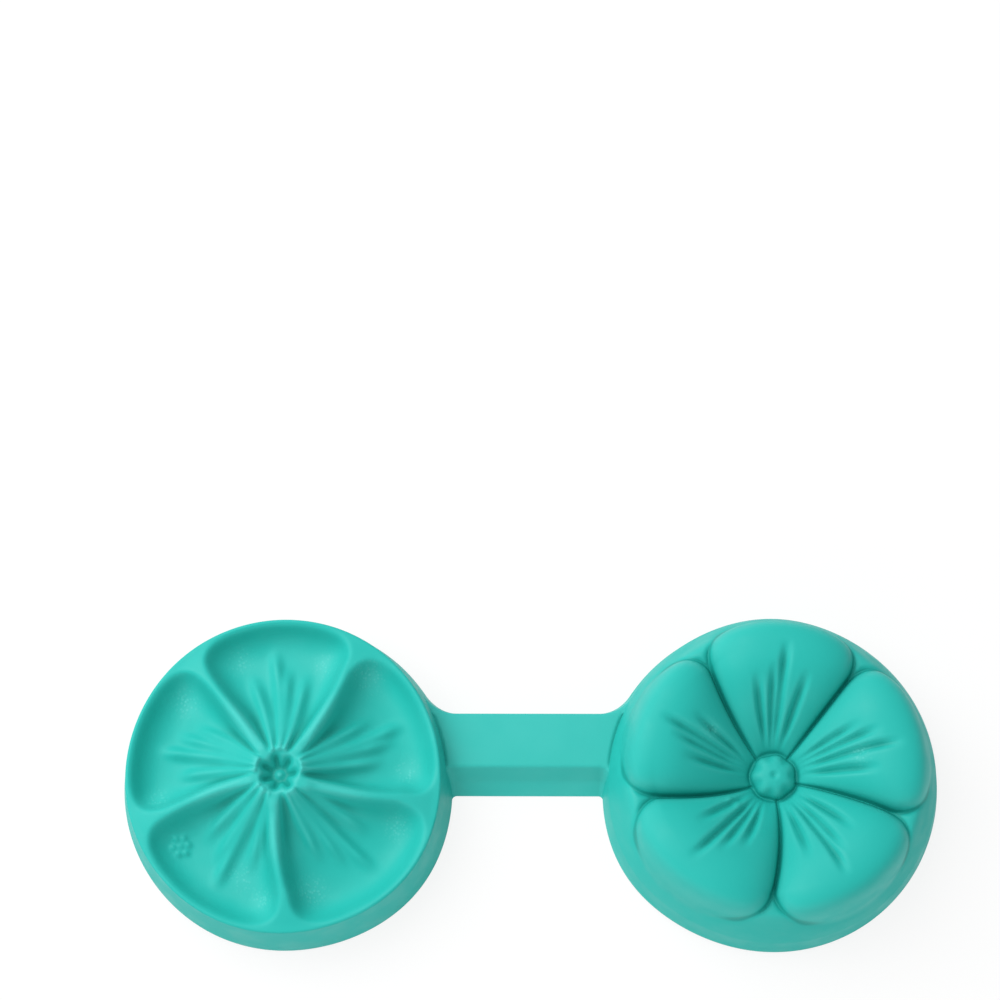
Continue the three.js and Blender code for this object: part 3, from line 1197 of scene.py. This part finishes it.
@dataclass(frozen=True)
class SiliconeFinish:
    """Satin cast silicone.

    Attributes:
        name: Name of the material.
        body: Colour of the silicone, linear.
        pale_and_highlight: Colour of its clouds, and of the painted highlight along its crests, linear.
        speck: Paler colour of the dots in its bubble patches, linear.
        painted_hollow_shade: Painted shade in its hollows: the darker colour laid there, linear.
        satin: Roughness of its dullest places.
        shine: How much smoother its shiniest places are.
        relief: Height of the grain and the bubbles, in metres.
        ior: Index of refraction.
        specular: Strength of its reflections, 0.5 for a clean surface.
    """

    name: str
    body: Point = (0.017, 0.43, 0.38)
    # Colour of the clouds and of the painted highlight along crests.
    pale_and_highlight: Point = (0.05, 0.49, 0.445)
    speck: Point = (0.08, 0.54, 0.49)
    # Colour of the painted shade in hollows.
    painted_hollow_shade: Point = (0.004, 0.28, 0.24)
    satin: float = 0.56
    shine: float = 0.12
    relief: float = 0.00006
    ior: float = 1.41
    specular: float = 0.25

    def make(self, mottling_and_painted_light: CastMottleAndPaintedLight, graining: CastGrain) -> bpy.types.Material:
        """Builds the material.

        Args:
            mottling_and_painted_light: Group that makes the colour, with the painted shade and painted
                highlight.
            graining: Group that makes the roughness and the grain.

        Returns:
            The material.
        """
        material = bpy.data.materials.new(self.name)
        material.use_nodes = True
        nodes, links = material.node_tree.nodes, material.node_tree.links
        shader = nodes["Principled BSDF"]
        shader.inputs["IOR"].default_value = self.ior
        shader.inputs["Specular IOR Level"].default_value = self.specular
        mottle_and_light_node = nodes.new("ShaderNodeGroup")
        mottle_and_light_node.node_tree = mottling_and_painted_light.tree
        colours = {"Body": self.body, "PaleAndHighlight": self.pale_and_highlight, "PaintedShade": self.painted_hollow_shade, "Speck": self.speck}
        for label, colour in colours.items():
            mottle_and_light_node.inputs[label].default_value = (*colour, 1.0)
        grain = nodes.new("ShaderNodeGroup")
        grain.node_tree = graining.tree
        grain.inputs["Satin"].default_value = self.satin
        grain.inputs["Shine"].default_value = self.shine
        # The crest attribute places the painted shade and painted highlight; the bubbles attribute places
        # the bubble patches.
        for label, node, socket in (("crest", mottle_and_light_node, "Crest"), ("bubbles", grain, "Bubbles")):
            read = nodes.new("ShaderNodeAttribute")
            read.attribute_name = label
            links.new(read.outputs["Fac"], node.inputs[socket])
        bump = nodes.new("ShaderNodeBump")
        bump.inputs["Distance"].default_value = self.relief
        links.new(grain.outputs["Height"], bump.inputs["Height"])
        links.new(grain.outputs["Dots"], mottle_and_light_node.inputs["Dots"])
        links.new(bump.outputs["Normal"], shader.inputs["Normal"])
        links.new(grain.outputs["Roughness"], shader.inputs["Roughness"])
        links.new(mottle_and_light_node.outputs["Color"], shader.inputs["Base Color"])
        return material


@dataclass(frozen=True)
class Lamp:
    """A square softbox that points at the middle of the mold.

    Attributes:
        name: Name of the lamp.
        energy: Power, in watts.
        size: Length of a side, in metres.
        place: Place, in metres.
    """

    name: str
    energy: float
    size: float
    place: Point


@dataclass
class Studio:
    """Pale floor, soft light and the camera."""

    camera_at: Point = (0.0003, -0.07935, 0.43)
    looks_at: Point = (-0.00514, 0.05289, 0.0)
    roll: float = 0.246
    focal_pixels: float = 2451.8
    frame_pixels: float = 1000.0
    sensor: float = 36.0
    clip_start: float = 0.01
    sky: float = 0.48
    floor_reach: float = 3000.0
    floor_tone: float = 0.9
    floor_roughness: float = 0.9
    floor_glow: float = 0.85
    lamps: tuple[Lamp, ...] = (
        Lamp("back_softbox", 4.2, 0.55, (-0.32, 0.21, 0.48)),
        Lamp("front_fill", 1.4, 0.6, (0.0, -0.62, 0.14)),
    )

    def build(self) -> None:
        """Places the floor, the light and the camera."""
        scene = bpy.context.scene
        scene.view_settings.view_transform = "Standard"
        data = bpy.data.cameras.new("camera")
        data.sensor_width = self.sensor
        data.lens = self.focal_pixels / self.frame_pixels * self.sensor
        data.clip_start = self.clip_start
        camera = bpy.data.objects.new("camera", data)
        camera.location = self.camera_at
        back = (Vector(self.camera_at) - Vector(self.looks_at)).normalized()
        right = Vector((0.0, 1.0, 0.0)).cross(back).normalized()
        right.rotate(Quaternion(back, math.radians(self.roll)))
        camera.rotation_euler = Matrix((right, back.cross(right), back)).transposed().to_euler()
        scene.collection.objects.link(camera)
        scene.camera = camera
        self.floor()
        self.light()

    def floor(self) -> None:
        """Lays the pale floor."""
        corners = np.array([(-1, -1, 0), (1, -1, 0), (1, 1, 0), (-1, 1, 0)])
        floor = mesh_object("floor", corners * self.floor_reach, [[0, 1, 2, 3]])
        material = bpy.data.materials.new("floor_white")
        material.use_nodes = True
        nodes = material.node_tree.nodes
        shader = nodes["Principled BSDF"]
        shader.inputs["Base Color"].default_value = (*[self.floor_tone] * 3, 1.0)
        shader.inputs["Roughness"].default_value = self.floor_roughness
        glow = nodes.new("ShaderNodeEmission")
        kit = NodeKit(material.node_tree)
        share = kit.math("MULTIPLY", kit.seen(), self.floor_glow)
        end = nodes["Material Output"].inputs["Surface"]
        kit.mix(share, shader.outputs["BSDF"], glow.outputs["Emission"], end)
        floor.data.materials.append(material)

    def light(self) -> None:
        """Hangs the lamps and sets the sky."""
        world = bpy.data.worlds.new("studio")
        world.use_nodes = True
        nodes = world.node_tree.nodes
        sky = nodes["Background"]
        sky.inputs["Color"].default_value = WHITE
        sky.inputs["Strength"].default_value = self.sky
        white = nodes.new("ShaderNodeBackground")
        white.inputs["Color"].default_value = WHITE
        kit = NodeKit(world.node_tree)
        end = nodes["World Output"].inputs["Surface"]
        kit.mix(kit.seen(), sky.outputs["Background"], white.outputs["Background"], end)
        bpy.context.scene.world = world
        for lamp in self.lamps:
            data = bpy.data.lights.new(lamp.name, "AREA")
            data.energy = lamp.energy
            data.size = lamp.size
            softbox = bpy.data.objects.new(lamp.name, data)
            softbox.location = lamp.place
            softbox.rotation_euler = (-softbox.location).to_track_quat("-Z", "Y").to_euler()
            bpy.context.scene.collection.objects.link(softbox)


def main() -> None:
    """Builds the mold and its studio."""
    logging.basicConfig(level=logging.INFO, format="%(name)s: %(message)s")
    Studio().build()
    mottling_and_painted_light = CastMottleAndPaintedLight()
    graining = CastGrain()
    dressed = (
        # The cavity's painted shade in its hollows is darker.
        (SiliconeFinish("cavity_silicone", painted_hollow_shade=(0.004, 0.24, 0.2)), [CavityHalf().build()]),
        # The petal half's clouds and painted highlight are less pale.
        (SiliconeFinish("petal_silicone", pale_and_highlight=(0.032, 0.45, 0.4)), [PetalHalf().build()]),
        (SiliconeFinish("strap_silicone", body=(0.034, 0.445, 0.4)), Strap().build()),
    )
    for finish, pieces in dressed:
        silicone = finish.make(mottling_and_painted_light, graining)
        for piece in pieces:
            piece.data.materials.append(silicone)
            LOG.info("%s: %d faces", piece.name, len(piece.data.polygons))


if __name__ == "__main__":
    main()
